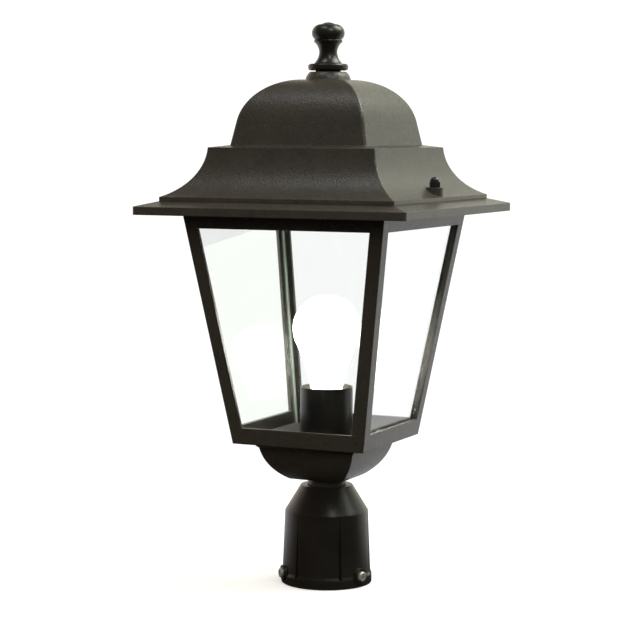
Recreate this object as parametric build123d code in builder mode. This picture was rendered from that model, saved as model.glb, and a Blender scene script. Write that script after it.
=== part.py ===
from build123d import *
import math
import os

# Post top lantern: a cast fitter with a round bore, a cast bowl, a tapered four-sided cage with
# glass panes and a wide brim, and a cast roof that two cap nuts hold down on studs.
# Millimetres, +Z up. The origin is the centre of the fitter's bore at its lower rim, the front
# face looks along -Y, and the two cap nuts stand at the left and right, on the X axis.

# ---------------------------------------------------------------- sizes that many pieces share
THREAD_CLEARANCE = 0.08   # radial, between a screw and its hole
PAN_ROUND = 0.45          # share of a pan head's height that is rounded
CLIP_BEND = 0.75          # how a clip's and the contact's bends are set back, in sheet
CONTACT_BEND = 0.25       # thicknesses, so that the sheet keeps its thickness
CUT_SPARE = 1.0           # how far a cut runs past the metal
TOUCH = 0.01              # nearer than this counts as touching

# ---------------------------------------------------------------- sizes: fitter and its screws
POST_OD = 76.2            # the nominal 3 in size that the fitter goes on
POST_CLEARANCE = 0.4      # radial, in the fitter's bore
POST_DEPTH = 62.0         # depth of the straight bore
POST_STOP = 1.5           # step at the bore's upper end
RING_WALL = 5.7           # ring round the fitter's mouth
RING_HEIGHT = 8.6
RING_BEVEL = 2.9          # height of the slope above the ring
RING_ROUND = 1.0          # rounding of the fitter's lower rim
FOOT_WALL = 4.4           # fitter's wall just above the ring
SHOULDER_WALL = 2.0       # and where its cone starts
SHOULDER_HEIGHT = 70.6
COLLAR_HEIGHT = 95.6
CONE_TOP_R = 25.2
CONE_WALL = 3.6           # thickness of the cone, measured level
CEILING = 5.0             # metal that the stem passes through
GROOVE_COUNT = 6
GROOVE_FLOOR = 0.35       # the grooves' floor lies this far inside the shoulder, all the way down
GROOVE_FLOOR_WIDTH = 0.7
GROOVE_FLARE = 0.4        # how much each side opens for every millimetre outwards
GROOVE_FOOT = 9.0
GROOVE_GAP = 2.0          # from a groove's upper end to the shoulder
SET_SCREW_COUNT = 3
SET_SCREW_ANGLE = -17.5   # first set screw, from +X towards +Y
SET_SCREW_LEVEL = 10.8
SET_SCREW_D = 9.5
SET_SCREW_LENGTH = 9.4
SET_SCREW_CHAMFER = 0.8
SET_SCREW_KEY = 4.8       # hexagon socket, across flats
SET_SCREW_KEY_DEPTH = 4.0
PAD_R = 7.5               # round pad that each set screw comes through
PAD_REACH = 1.1           # how far the pad's face stands out past the ring

# ---------------------------------------------------------------- sizes: stem through the neck
STEM_OD = 17.1
STEM_BORE = 12.5
STEM_SPARE = 3.0          # thread that stands past each locknut
LOCKNUT_FLATS = 25.0
LOCKNUT_HEIGHT = 4.5
LOCKWASHER_R = 15.0
LOCKWASHER_HEIGHT = 1.2

# ---------------------------------------------------------------- sizes: bowl
NECK_R = 18.4
NECK_SEAT = 3.0           # depth of the recess that the neck stands in
NECK_CLEARANCE = 0.6
BOWL_HEIGHT = 47.7        # foot of the neck to the cage's floor
BOWL_ARC_R = 48.6
BOWL_ARC_HALF = 1.5       # how far the curve's centre lies from the axis
BOWL_LIP_HALF = 51.5
BOWL_LIP_HEIGHT = 3.6
BOWL_STEP = 2.2           # small step under the lip
BOWL_NECKING = 48.8       # half width under that step
BOWL_CENTRE = 51.9        # and how far above the neck's foot
BOWL_ARC_END_HALF = 27.0  # the curve ends here, and a flatter run goes in to the neck
BOWL_UNDER = 8.7          # from the neck's foot to where that run meets the neck
BOWL_WALL = 3.2
BOWL_FLOOR = 12.0         # metal between the neck's foot and the bowl's inside
BOWL_SCREW_SPACING = 74.0
BOWL_SCREW_D = 4.16
BOWL_SCREW_LENGTH = 15.0
BOWL_SCREW_SPARE = 1.0    # hole below the screw's end
BOWL_SCREW_HEAD_R = 4.0
BOWL_SCREW_HEAD_HEIGHT = 2.6
SCREW_BOSS_R = 4.5
SCREW_BOSS_HEIGHT = 19.5

# ---------------------------------------------------------------- sizes: cage and brim
CAGE_HEIGHT = 219.7       # from its floor's underside to the brim's lower edge
CAGE_FOOT_HALF = 68.2
CAGE_TOP_HALF = 102.9
CAGE_WALL = 3.5
CAGE_HIP_R = 1.2          # rounding of its four corners
CAGE_FLOOR = 3.5
BAR_WIDTH = 13.0          # each leg of the corner bars, across a face
SILL_HEIGHT = 16.0        # bottom rail
TOP_RAIL_HEIGHT = 13.0
WIRE_HOLE_R = 9.0
BRIM_HALF = 137.8
BRIM_EDGE = 7.6
BRIM_RISE = 4.9
BRIM_PLATE = 4.0
BRIM_LIP = 3.5
BRIM_CORNER_R = 4.0
BRIM_OPENING_HALF = 97.5

# ---------------------------------------------------------------- sizes: glass and what holds it
PANE_THICKNESS = 3.0
PANE_ARRIS = 0.3          # ground off a pane's slanting edges
PANE_GAP = 0.2            # between a pane and the cage
PANE_CORNER_GAP = 0.8     # between two panes at a corner
PANE_TOP_GAP = 14.0       # from the panes' upper edge to the brim's plate
SEAL_GAP = 0.25           # between a corner bead and the panes beside it
CLIP_WIDTH = 10.0
CLIP_SHEET = 0.8
CLIP_FOOT = 7.0
CLIP_FOOT_GAP = 1.0       # from the foot to the brim's plate
CLIP_TONGUE = 6.0
CLIP_SPACE = 0.1          # between a clip's tongue and its pane
CLIP_RAMP = 1.5           # the tongue begins this far above the pane's edge
CLIP_SPACING = 110.0
CLIP_SCREW_D = 3.5
CLIP_SCREW_HEAD_R = 2.9
CLIP_SCREW_HEAD_HEIGHT = 1.8
CLIP_SCREW_REACH = 2.6    # how deep it goes into the cage's wall
CLIP_SCREW_SPARE = 0.2    # hole below the screw's end

# ---------------------------------------------------------------- sizes: roof and its fastening
ROOF_FOOT_HALF = 119.2
ROOF_FOOT = 4.1
ROOF_FOOT_CORNER_R = 1.5
SKIRT_FOOT_HALF = 118.5
SKIRT_HEIGHT = 46.0
SKIRT_ARC_R = 53.8
LEDGE_HALF = 85.6
LEDGE_RISE = 2.2
DOME_HALF = 70.2
DOME_HEIGHT = 62.4
DOME_ARC_R = 49.0
DOME_LEAN = 11.0          # lean of the dome's sides, in degrees
ROOF_WALL = 3.2
SKIRT_HIP_R = 1.5         # rounding of the skirt's corners
DOME_HIP_R = 3.0          # and of the dome's
CROWN_BOSS_R = 21.8
CROWN_BOSS_TOP_R = 17.7
CROWN_BOSS_HEIGHT = 7.3
CROWN_BOSS_SWELL = 0.8    # how far its side stands out past a straight slope
STUD_SPACING = 221.0
STUD_D = 4.83
STUD_ENGAGE = 7.4         # thread inside a cap nut
STUD_CHAMFER = 0.5
STUD_BOSS_R = 8.3
STUD_BOSS_HEIGHT = 13.3
STUD_HOLE_CLEARANCE = 0.5
STUD_SEAT_R = 7.0         # boss under the brim's plate that a stud is screwed into
STUD_SEAT_HEIGHT = 7.0
CAP_NUT_FLATS = 9.5
CAP_NUT_HEX_HEIGHT = 5.4
CAP_NUT_HEIGHT = 10.0
CAP_NUT_SHOULDER = 0.35   # how far its dome stands in from the flats
CAP_NUT_CAP = 1.6         # metal over the end of its bore

# ---------------------------------------------------------------- sizes: finial
FINIAL_GASKET_R = 12.0    # rubber washer that keeps rain out of the stud's hole
FINIAL_GASKET_HEIGHT = 1.5
FINIAL_DISC_R = 19.2
FINIAL_DISC_HEIGHT = 6.1
FINIAL_DISC_ROUND = 1.4
FINIAL_FLARE_R = 13.1
FINIAL_FLARE_STEP = 0.9   # small step between the disc and the flare
FINIAL_WAIST_R = 8.6
FINIAL_WAIST_LEVEL = 11.2 # disc to the narrowest place
FINIAL_WAIST_HEIGHT = 19.8
FINIAL_HOLLOW = 0.95      # how far its two curves lie inside a straight slope
FINIAL_THROAT_R = 12.4    # where the waist meets the bead
FINIAL_BEAD_R = 13.6
FINIAL_BEAD_HEIGHT = 3.4
FINIAL_BUN_R = 15.7
FINIAL_BUN_FOOT_R = 12.9
FINIAL_BUN_LOWER = 5.9    # bead to the ball's widest
FINIAL_BUN_UPPER = 8.6    # its widest to the button
FINIAL_BUTTON_R = 6.6
FINIAL_BUTTON_HEIGHT = 1.8
FINIAL_STUD_D = 6.35
FINIAL_STUD_ENGAGE = 16.5 # thread inside the finial
FINIAL_HOLE_SPARE = 1.0   # hole above the stud's end
FINIAL_STUD_SPARE = 1.5   # thread that stands past the nut
FINIAL_NUT_FLATS = 11.1
FINIAL_NUT_HEIGHT = 5.6
FINIAL_WASHER_R = 9.0
FINIAL_WASHER_HEIGHT = 1.5

# ---------------------------------------------------------------- sizes: lampholder and lamp
COVER_R = 25.5
COVER_HEIGHT = 48.2
COVER_WALL = 1.2
COVER_ROUND = 0.5
HOLDER_BASE_R = 23.6
HOLDER_BASE_HEIGHT = 5.0
HOLDER_R = 16.6
HOLDER_HEIGHT = 33.0
HOLDER_ROUND = 0.8
HOLDER_SCREW_SPACING = 40.6
HOLDER_SCREW_D = 3.5
HOLDER_SCREW_HEAD_R = 3.0
HOLDER_SCREW_HEAD_HEIGHT = 2.0
HOLDER_SCREW_SPARE = 3.0
SHELL_FIT = 0.2           # screw shell in the holder's well
SHELL_FLANGE = 1.8        # level rim at the shell's foot
SHELL_STOP = 1.0          # from the shell's upper edge to the holder's
SHELL_GAP = 0.3           # lamp cap to screw shell, and lamp to contact
SHELL_WALL = 0.6
CONTACT_WIDTH = 6.0
CONTACT_LENGTH = 18.0
CONTACT_SHEET = 0.8
CONTACT_HEIGHT = 2.7
CONTACT_TOP = 4.8         # level middle of the strip
CONTACT_FOOT = 10.4       # where it comes down to the floor, end to end
CONTACT_HOLE_R = 1.6      # the strip's fixing holes in the holder
CONTACT_HOLE_SPACING = 12.0
CAP_R = 13.0              # medium screw cap
CAP_HEIGHT = 22.0
CAP_THREAD_PITCH = 3.6
CAP_THREAD_DEPTH = 0.8
CAP_SHEET = 0.5
CAP_FOOT_RISE = 0.6       # slope at the cap's foot
TIP_R = 4.6
TIP_HEIGHT = 1.5
TIP_ROUND = 0.9
INSULATOR_HEIGHT = 3.5
INSULATOR_FLARE = 4.0     # how much wider it is at the cap
LAMP_R = 32.7
LAMP_HEIGHT = 128.0       # tip to crown
LAMP_CROWN_TURN = 30.0    # how far the round crown goes on below its widest, in degrees
LAMP_NECK_HEIGHT = 8.0    # glass stays narrow for this far above the cap
LAMP_NECK_FLARE = 1.6
LAMP_GLASS = 1.0
LAMP_TUCK = 4.0           # how far the glass goes down into the cap
LAMP_TUCK_GAP = 0.1
LAMP_HOLLOW = 0.9         # how far the sides curve in below the crown
GROUND_SCREW_REACH = 24.0
GROUND_SCREW_D = 4.16
GROUND_SCREW_HEAD_R = 4.2
GROUND_SCREW_HEAD_HEIGHT = 2.4

# ---------------------------------------------------------------- levels and widths that follow
bore_r = POST_OD / 2 + POST_CLEARANCE
ring_r = bore_r + RING_WALL
ceiling_level = COLLAR_HEIGHT - NECK_SEAT - CEILING
neck_level = COLLAR_HEIGHT - NECK_SEAT
bowl_floor_level = neck_level + BOWL_FLOOR
cage_level = neck_level + BOWL_HEIGHT
cage_floor_level = cage_level + CAGE_FLOOR
brim_level = cage_level + CAGE_HEIGHT
seat_level = brim_level + BRIM_EDGE + BRIM_RISE
plate_level = seat_level - BRIM_PLATE
skirt_level = seat_level + ROOF_FOOT
ledge_level = skirt_level + SKIRT_HEIGHT
dome_level = ledge_level + LEDGE_RISE
crown_level = dome_level + DOME_HEIGHT
crown_boss_level = crown_level + CROWN_BOSS_HEIGHT
finial_level = crown_boss_level + FINIAL_GASKET_HEIGHT
stud_boss_level = seat_level + STUD_BOSS_HEIGHT
holder_level = cage_floor_level + COVER_WALL
holder_floor_level = holder_level + HOLDER_BASE_HEIGHT
contact_level = holder_floor_level + CONTACT_HEIGHT
lamp_level = contact_level + SHELL_GAP
cap_level = lamp_level + TIP_HEIGHT + INSULATOR_HEIGHT
glass_level = cap_level + CAP_HEIGHT

cage_lean = math.degrees(math.atan((CAGE_TOP_HALF - CAGE_FOOT_HALF) / CAGE_HEIGHT))
cage_lean_sin = math.sin(math.radians(cage_lean))
cage_lean_cos = math.cos(math.radians(cage_lean))
wall_level = CAGE_WALL / cage_lean_cos       # the cage's wall and a pane, measured level
pane_level = PANE_THICKNESS / cage_lean_cos


def cage_half(level):
    """Half the cage's outer width at a level: it widens steadily upwards."""
    return CAGE_FOOT_HALF + (level - cage_level) * math.tan(math.radians(cage_lean))


def wall_half(level):
    """Half the width between the inner faces of two opposite cage walls."""
    return cage_half(level) - wall_level


# ---------------------------------------------------------------- helpers
def save(part, label):
    """Label a finished piece and write its STEP file."""
    part.label = label
    export_step(part, f"parts/{label}.step")
    print(f"{label:18s} {len(part.solids()):3d} solids  {part.volume / 1000:9.2f} cm3")


def four_sided(section, reach):
    """The solid whose every level is a square: one section pushed along Y and along X."""
    with BuildPart() as solid:
        with BuildSketch(Plane.XZ):
            add(section)
        extrude(amount=reach, both=True)
        with BuildSketch(Plane.YZ):
            add(section)
        extrude(amount=reach, both=True, mode=Mode.INTERSECT)
    return solid.part


def hips(part, low, high):
    """The corner edges of a four-sided form that climb between two levels."""
    def climbs(edge):
        ends = (edge @ 0, edge @ 1)
        return (all(abs(abs(end.X) - abs(end.Y)) < TOUCH for end in ends)
                and all(low - TOUCH < end.Z < high + TOUCH for end in ends)
                and abs(ends[0].Z - ends[1].Z) > TOUCH)
    return part.edges().filter_by(climbs)


def wall_plane(turn, level, inset=0.0):
    """A plane on a cage wall's inner face, or inset from it: X level, Y up the slope, facing in."""
    front = Plane(
        origin=(0, -wall_half(level), level),
        x_dir=(-1, 0, 0),
        z_dir=(0, cage_lean_cos, cage_lean_sin),
    )
    return Plane(Location((0, 0, 0), (0, 0, 1), 90 * turn) * front.location).offset(inset)


def radial_plane(angle, radius, level):
    """A plane square to a radius of the fitter, facing outwards, with Y upwards."""
    turn = math.radians(angle)
    out = (math.cos(turn), math.sin(turn), 0)
    return Plane(
        origin=(radius * out[0], radius * out[1], level),
        x_dir=(-out[1], out[0], 0),
        z_dir=out,
    )


def pan_screw(plane, diameter, length, head_r, head_height):
    """A pan-head screw: its head stands on the plane and its shank goes down through it."""
    with BuildPart() as screw:
        with BuildSketch(plane):
            Circle(head_r)
        extrude(amount=head_height)
        fillet(screw.edges().filter_by(GeomType.CIRCLE).sort_by(
            lambda edge: plane.to_local_coords(edge.center()).Z)[-1], head_height * PAN_ROUND)
        with BuildSketch(plane):
            Circle(diameter / 2)
        extrude(amount=-length)
    return screw.part


set_screw_angles = [SET_SCREW_ANGLE + 360 / SET_SCREW_COUNT * k for k in range(SET_SCREW_COUNT)]
pad_face_r = ring_r + PAD_REACH


# ---------------------------------------------------------------- fitter
def make_post_collar():
    shoulder_r = bore_r + SHOULDER_WALL
    foot_r = bore_r + FOOT_WALL
    cone_drop = COLLAR_HEIGHT - SHOULDER_HEIGHT
    cone_slope = (shoulder_r - CONE_TOP_R) / cone_drop
    inner_shoulder_r = bore_r - POST_STOP
    inner_top_r = shoulder_r - CONE_WALL - (ceiling_level - SHOULDER_HEIGHT) * cone_slope
    with BuildPart() as collar:
        with BuildSketch(Plane.XZ):
            with BuildLine():
                Polyline(
                    (bore_r, 0),
                    (ring_r, 0),
                    (ring_r, RING_HEIGHT),
                    (foot_r, RING_HEIGHT + RING_BEVEL),
                    (shoulder_r, SHOULDER_HEIGHT),
                    (CONE_TOP_R, COLLAR_HEIGHT),
                    (NECK_R + NECK_CLEARANCE, COLLAR_HEIGHT),
                    (NECK_R + NECK_CLEARANCE, neck_level),
                    (STEM_OD / 2 + THREAD_CLEARANCE, neck_level),
                    (STEM_OD / 2 + THREAD_CLEARANCE, ceiling_level),
                    (inner_top_r, ceiling_level),
                    (inner_shoulder_r, SHOULDER_HEIGHT),
                    (inner_shoulder_r, POST_DEPTH),
                    (bore_r, POST_DEPTH),
                    close=True,
                )
            make_face()
        revolve(axis=Axis.Z)
        fillet(collar.edges().filter_by(GeomType.CIRCLE).filter_by(
            lambda edge: edge.radius > ring_r - TOUCH).group_by(Axis.Z)[0], RING_ROUND)
        # a round pad at each set screw
        for angle in set_screw_angles:
            with BuildSketch(radial_plane(angle, pad_face_r, SET_SCREW_LEVEL)):
                Circle(PAD_R)
            extrude(amount=-(pad_face_r - bore_r - SHOULDER_WALL))
        # grooves with an upright floor, which fade out upwards as the wall draws in
        floor_r = shoulder_r - GROOVE_FLOOR
        mouth_r = ring_r + CUT_SPARE
        mouth_half = GROOVE_FLOOR_WIDTH / 2 + (mouth_r - floor_r) * GROOVE_FLARE
        with BuildSketch(Plane.XY.offset(GROOVE_FOOT)):
            with PolarLocations(0, GROOVE_COUNT, SET_SCREW_ANGLE + 180 / GROOVE_COUNT):
                Polygon(
                    (floor_r, -GROOVE_FLOOR_WIDTH / 2),
                    (mouth_r, -mouth_half),
                    (mouth_r, mouth_half),
                    (floor_r, GROOVE_FLOOR_WIDTH / 2),
                    align=None,
                )
        extrude(amount=SHOULDER_HEIGHT - GROOVE_GAP - GROOVE_FOOT, mode=Mode.SUBTRACT)
        # the bore stays round behind the pads, and each set screw has its hole
        with BuildSketch(Plane.XY):
            Circle(bore_r)
        extrude(amount=POST_DEPTH, mode=Mode.SUBTRACT)
        for angle in set_screw_angles:
            with BuildSketch(radial_plane(angle, bore_r - CUT_SPARE, SET_SCREW_LEVEL)):
                Circle(SET_SCREW_D / 2 + THREAD_CLEARANCE)
            extrude(amount=pad_face_r - bore_r + CUT_SPARE * 2, mode=Mode.SUBTRACT)
    return collar.part


def make_set_screw(angle):
    """A socket set screw, with its point level with the bore's wall."""
    with BuildPart() as screw:
        with BuildSketch(radial_plane(angle, bore_r + THREAD_CLEARANCE, SET_SCREW_LEVEL)):
            Circle(SET_SCREW_D / 2)
        extrude(amount=SET_SCREW_LENGTH)
        chamfer(screw.edges().filter_by(GeomType.CIRCLE), SET_SCREW_CHAMFER)
        with BuildSketch(radial_plane(
                angle, bore_r + THREAD_CLEARANCE + SET_SCREW_LENGTH, SET_SCREW_LEVEL)):
            RegularPolygon(SET_SCREW_KEY / 2, 6, major_radius=False)
        extrude(amount=-SET_SCREW_KEY_DEPTH, mode=Mode.SUBTRACT)
    return screw.part


# ---------------------------------------------------------------- stem, locknuts, washers
stem_washer_levels = [ceiling_level - LOCKWASHER_HEIGHT, bowl_floor_level]
stem_nut_levels = [
    ceiling_level - LOCKWASHER_HEIGHT - LOCKNUT_HEIGHT,
    bowl_floor_level + LOCKWASHER_HEIGHT,
]


def make_stem_tube():
    low = stem_nut_levels[0] - STEM_SPARE
    high = stem_nut_levels[1] + LOCKNUT_HEIGHT + STEM_SPARE
    with BuildPart() as stem:
        with BuildSketch(Plane.XY.offset(low)):
            Circle(STEM_OD / 2)
            Circle(STEM_BORE / 2, mode=Mode.SUBTRACT)
        extrude(amount=high - low)
    return stem.part


def make_stem_locknuts():
    with BuildPart() as nuts:
        for level in stem_nut_levels:
            with BuildSketch(Plane.XY.offset(level)):
                RegularPolygon(LOCKNUT_FLATS / 2, 6, major_radius=False)
                Circle(STEM_OD / 2 + THREAD_CLEARANCE, mode=Mode.SUBTRACT)
            extrude(amount=LOCKNUT_HEIGHT)
    return nuts.part


def make_stem_washers():
    with BuildPart() as washers:
        for level in stem_washer_levels:
            with BuildSketch(Plane.XY.offset(level)):
                Circle(LOCKWASHER_R)
                Circle(STEM_OD / 2 + THREAD_CLEARANCE, mode=Mode.SUBTRACT)
            extrude(amount=LOCKWASHER_HEIGHT)
    return washers.part


# ---------------------------------------------------------------- bowl
def bowl_section(above):
    """The bowl's section: a lip, a small step and a full curve down to a flat round the neck."""
    centre_level = neck_level + BOWL_CENTRE
    curve_top = cage_level - BOWL_LIP_HEIGHT - BOWL_STEP
    start = math.degrees(math.asin((curve_top - centre_level) / BOWL_ARC_R))
    finish = -math.degrees(math.acos((BOWL_ARC_END_HALF - BOWL_ARC_HALF) / BOWL_ARC_R))
    with BuildSketch() as sketch:
        with BuildLine():
            curve = CenterArc((BOWL_ARC_HALF, centre_level), BOWL_ARC_R, start, finish - start)
            Polyline(
                curve @ 0,
                (BOWL_NECKING, curve_top),
                (BOWL_LIP_HALF, cage_level - BOWL_LIP_HEIGHT),
                (BOWL_LIP_HALF, cage_level + above),
                (0, cage_level + above),
                (0, neck_level + BOWL_UNDER),
                (NECK_R, neck_level + BOWL_UNDER),
                curve @ 1,
            )
        make_face()
        mirror(about=Plane.YZ)
    return sketch.sketch


def make_bowl():
    outer = four_sided(bowl_section(0), BOWL_LIP_HALF + CUT_SPARE)
    # the section is carried on past the bowl's mouth, so that its hollow opens there
    with BuildSketch() as inside:
        add(bowl_section(BOWL_WALL * 3))
        offset(amount=-BOWL_WALL, mode=Mode.REPLACE)
        with Locations((0, bowl_floor_level - BOWL_HEIGHT / 2)):
            Rectangle(BOWL_LIP_HALF * 2, BOWL_HEIGHT, mode=Mode.SUBTRACT)
    hollow = four_sided(inside.sketch, BOWL_LIP_HALF + CUT_SPARE)
    with BuildPart() as bowl:
        add(outer)
        with BuildSketch(Plane.XY.offset(neck_level)):
            Circle(NECK_R)
        extrude(amount=BOWL_FLOOR)
        add(hollow, mode=Mode.SUBTRACT)
        # a boss in each corner takes the screw that comes down through the cage's floor
        with BuildSketch(Plane.XY.offset(cage_level)):
            with GridLocations(BOWL_SCREW_SPACING, BOWL_SCREW_SPACING, 2, 2):
                Circle(SCREW_BOSS_R)
        extrude(amount=-SCREW_BOSS_HEIGHT)
        with BuildSketch(Plane.XY.offset(cage_level)):
            with GridLocations(BOWL_SCREW_SPACING, BOWL_SCREW_SPACING, 2, 2):
                Circle(BOWL_SCREW_D / 2 + THREAD_CLEARANCE)
        extrude(amount=-(BOWL_SCREW_LENGTH - CAGE_FLOOR + BOWL_SCREW_SPARE), mode=Mode.SUBTRACT)
        with BuildSketch(Plane.XY.offset(neck_level)):
            Circle(STEM_OD / 2 + THREAD_CLEARANCE)
        extrude(amount=BOWL_FLOOR, mode=Mode.SUBTRACT)
    return bowl.part


def make_bowl_screws():
    with BuildPart() as screws:
        with GridLocations(BOWL_SCREW_SPACING, BOWL_SCREW_SPACING, 2, 2):
            add(pan_screw(Plane.XY.offset(cage_floor_level), BOWL_SCREW_D, BOWL_SCREW_LENGTH,
                          BOWL_SCREW_HEAD_R, BOWL_SCREW_HEAD_HEIGHT))
    return screws.part


# ---------------------------------------------------------------- cage and brim
window_foot = cage_level + SILL_HEIGHT
window_head = brim_level - TOP_RAIL_HEIGHT


def cage_section(low, high, inset):
    """The section of the tapered cage between two levels, drawn in by an inset."""
    with BuildSketch() as sketch:
        Polygon(
            (-cage_half(low) + inset, low),
            (cage_half(low) - inset, low),
            (cage_half(high) - inset, high),
            (-cage_half(high) + inset, high),
            align=None,
        )
    return sketch.sketch


def brim_section():
    """The brim over the cage: a level seat for the roof and a slope to a thick edge."""
    with BuildSketch() as sketch:
        with BuildLine():
            Polyline(
                (0, brim_level),
                (BRIM_HALF, brim_level),
                (BRIM_HALF, brim_level + BRIM_EDGE),
                (ROOF_FOOT_HALF, seat_level),
                (0, seat_level),
                close=True,
            )
        make_face()
        mirror(about=Plane.YZ)
    return sketch.sketch


def brim_hollow_section():
    """The space under the brim's plate, inside its lip."""
    with BuildSketch() as sketch:
        with BuildLine():
            Polyline(
                (0, brim_level - CUT_SPARE),
                (BRIM_HALF - BRIM_LIP, brim_level - CUT_SPARE),
                (BRIM_HALF - BRIM_LIP, brim_level + BRIM_EDGE - BRIM_PLATE),
                (ROOF_FOOT_HALF, plate_level),
                (0, plate_level),
                close=True,
            )
        make_face()
        mirror(about=Plane.YZ)
    return sketch.sketch


def window_section():
    """One window: the corner bars keep their width all the way up."""
    with BuildSketch() as sketch:
        Polygon(
            (-cage_half(window_foot) + BAR_WIDTH, window_foot),
            (cage_half(window_foot) - BAR_WIDTH, window_foot),
            (cage_half(window_head) - BAR_WIDTH, window_head),
            (-cage_half(window_head) + BAR_WIDTH, window_head),
            align=None,
        )
    return sketch.sketch


def clip_places():
    """Where the glass clips are screwed on: wall by wall, left and right."""
    level = plate_level - CLIP_FOOT_GAP - CLIP_FOOT / 2
    return [(turn, side * CLIP_SPACING / 2, level) for turn in range(4) for side in (-1, 1)]


def make_cage():
    reach = BRIM_HALF + CUT_SPARE
    brim = four_sided(brim_section(), reach)
    under_brim = four_sided(brim_hollow_section(), reach)
    with BuildPart() as walls:
        add(four_sided(cage_section(cage_level, plate_level + BRIM_PLATE / 2, 0), reach))
        fillet(hips(walls, cage_level, seat_level), CAGE_HIP_R)
    room = four_sided(cage_section(cage_floor_level, plate_level, wall_level), reach)
    window = window_section()
    with BuildPart() as cage:
        add(brim)
        fillet(cage.edges().filter_by(Axis.Z), BRIM_CORNER_R)
        add(under_brim, mode=Mode.SUBTRACT)
        with BuildSketch(Plane.XY.offset(plate_level)):
            with GridLocations(STUD_SPACING, 0, 2, 1):
                Circle(STUD_SEAT_R)
        extrude(amount=-STUD_SEAT_HEIGHT)
        add(walls.part)
        add(room, mode=Mode.SUBTRACT)
        with BuildSketch(Plane.XY.offset(plate_level - CUT_SPARE)):
            Rectangle(BRIM_OPENING_HALF * 2, BRIM_OPENING_HALF * 2)
        extrude(amount=BRIM_PLATE + CUT_SPARE * 2, mode=Mode.SUBTRACT)
        for plane in (Plane.XZ, Plane.YZ):
            with BuildSketch(plane):
                add(window)
            extrude(amount=reach, both=True, mode=Mode.SUBTRACT)
        with BuildSketch(Plane.XY.offset(seat_level + CUT_SPARE)):
            with GridLocations(STUD_SPACING, 0, 2, 1):
                Circle(STUD_D / 2 + THREAD_CLEARANCE)
        extrude(amount=-(BRIM_PLATE + STUD_SEAT_HEIGHT + CUT_SPARE * 2), mode=Mode.SUBTRACT)
        # holes in the floor: wires, lampholder screws, bowl screws and ground screw
        with BuildSketch(Plane.XY.offset(cage_level - CUT_SPARE)):
            Circle(WIRE_HOLE_R)
            with GridLocations(HOLDER_SCREW_SPACING, 0, 2, 1):
                Circle(HOLDER_SCREW_D / 2 + THREAD_CLEARANCE)
            with GridLocations(BOWL_SCREW_SPACING, BOWL_SCREW_SPACING, 2, 2):
                Circle(BOWL_SCREW_D / 2 + THREAD_CLEARANCE)
            with Locations((-GROUND_SCREW_REACH, GROUND_SCREW_REACH)):
                Circle(GROUND_SCREW_D / 2 + THREAD_CLEARANCE)
        extrude(amount=CAGE_FLOOR + CUT_SPARE * 2, mode=Mode.SUBTRACT)
        for turn, along, level in clip_places():
            with BuildSketch(wall_plane(turn, level)):
                with Locations((along, 0)):
                    Circle(CLIP_SCREW_D / 2 + THREAD_CLEARANCE)
            extrude(amount=-(CLIP_SCREW_REACH + CLIP_SCREW_SPARE), mode=Mode.SUBTRACT)
    return cage.part


# ---------------------------------------------------------------- glass, seals, clips
pane_foot = cage_floor_level + PANE_GAP
pane_head = plate_level - PANE_TOP_GAP


def make_glass(turn):
    """One pane: it lies behind a cage wall, stands on the floor and narrows downwards."""
    def half(level):
        return wall_half(level) - pane_level - PANE_CORNER_GAP
    slope_height = (pane_head - pane_foot) / cage_lean_cos
    with BuildPart() as pane:
        with BuildSketch(wall_plane(turn, pane_foot, PANE_GAP)):
            Polygon(
                (-half(pane_foot), 0),
                (half(pane_foot), 0),
                (half(pane_head), slope_height),
                (-half(pane_head), slope_height),
                align=None,
            )
        extrude(amount=PANE_THICKNESS)
        chamfer(pane.edges().filter_by(
            lambda edge: abs((edge @ 0).Z - (edge @ 1).Z) > PANE_THICKNESS), PANE_ARRIS)
    return pane.part


def make_corner_seals():
    """A bead of sealant in each corner, where the edges of two panes meet the corner bar."""
    side = pane_level + PANE_CORNER_GAP - SEAL_GAP * 2
    with BuildPart() as seals:
        for x, y in ((1, 1), (-1, 1), (-1, -1), (1, -1)):
            for level in (cage_floor_level + SEAL_GAP, pane_head):
                out = wall_half(level) - (pane_level + PANE_CORNER_GAP) / 2
                with BuildSketch(Plane.XY.offset(level)):
                    with Locations((x * out, y * out)):
                        Rectangle(side, side)
            loft()
    return seals.part


def make_glass_clips():
    """Sheet clips: a foot screwed to the wall, a step, and a tongue over the pane's edge."""
    step = PANE_GAP + PANE_THICKNESS + CLIP_SPACE
    bend = CLIP_SHEET * CLIP_BEND
    with BuildPart() as clips:
        for turn, along, level in clip_places():
            plane = wall_plane(turn, level)
            side = Plane(
                origin=plane.from_local_coords(Vector(along - CLIP_WIDTH / 2, 0, 0)),
                x_dir=plane.z_dir,
                z_dir=plane.x_dir,
            )
            pane_edge = -(level - pane_head) / cage_lean_cos
            up = side.to_local_coords(plane.from_local_coords(Vector(along, 1, 0))).Y
            with BuildSketch(side):
                Polygon(
                    (0, up * CLIP_FOOT / 2),
                    (CLIP_SHEET, up * CLIP_FOOT / 2),
                    (CLIP_SHEET, up * -CLIP_FOOT / 2),
                    (step + CLIP_SHEET, up * (pane_edge + CLIP_RAMP)),
                    (step + CLIP_SHEET, up * (pane_edge - CLIP_TONGUE)),
                    (step, up * (pane_edge - CLIP_TONGUE)),
                    (step, up * (pane_edge + CLIP_RAMP - bend)),
                    (0, up * (-CLIP_FOOT / 2 - bend)),
                    align=None,
                )
            extrude(amount=CLIP_WIDTH)
        for turn, along, level in clip_places():
            with BuildSketch(wall_plane(turn, level)):
                with Locations((along, 0)):
                    Circle(CLIP_SCREW_D / 2 + THREAD_CLEARANCE)
            extrude(amount=CLIP_SHEET, mode=Mode.SUBTRACT)
    return clips.part


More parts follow.
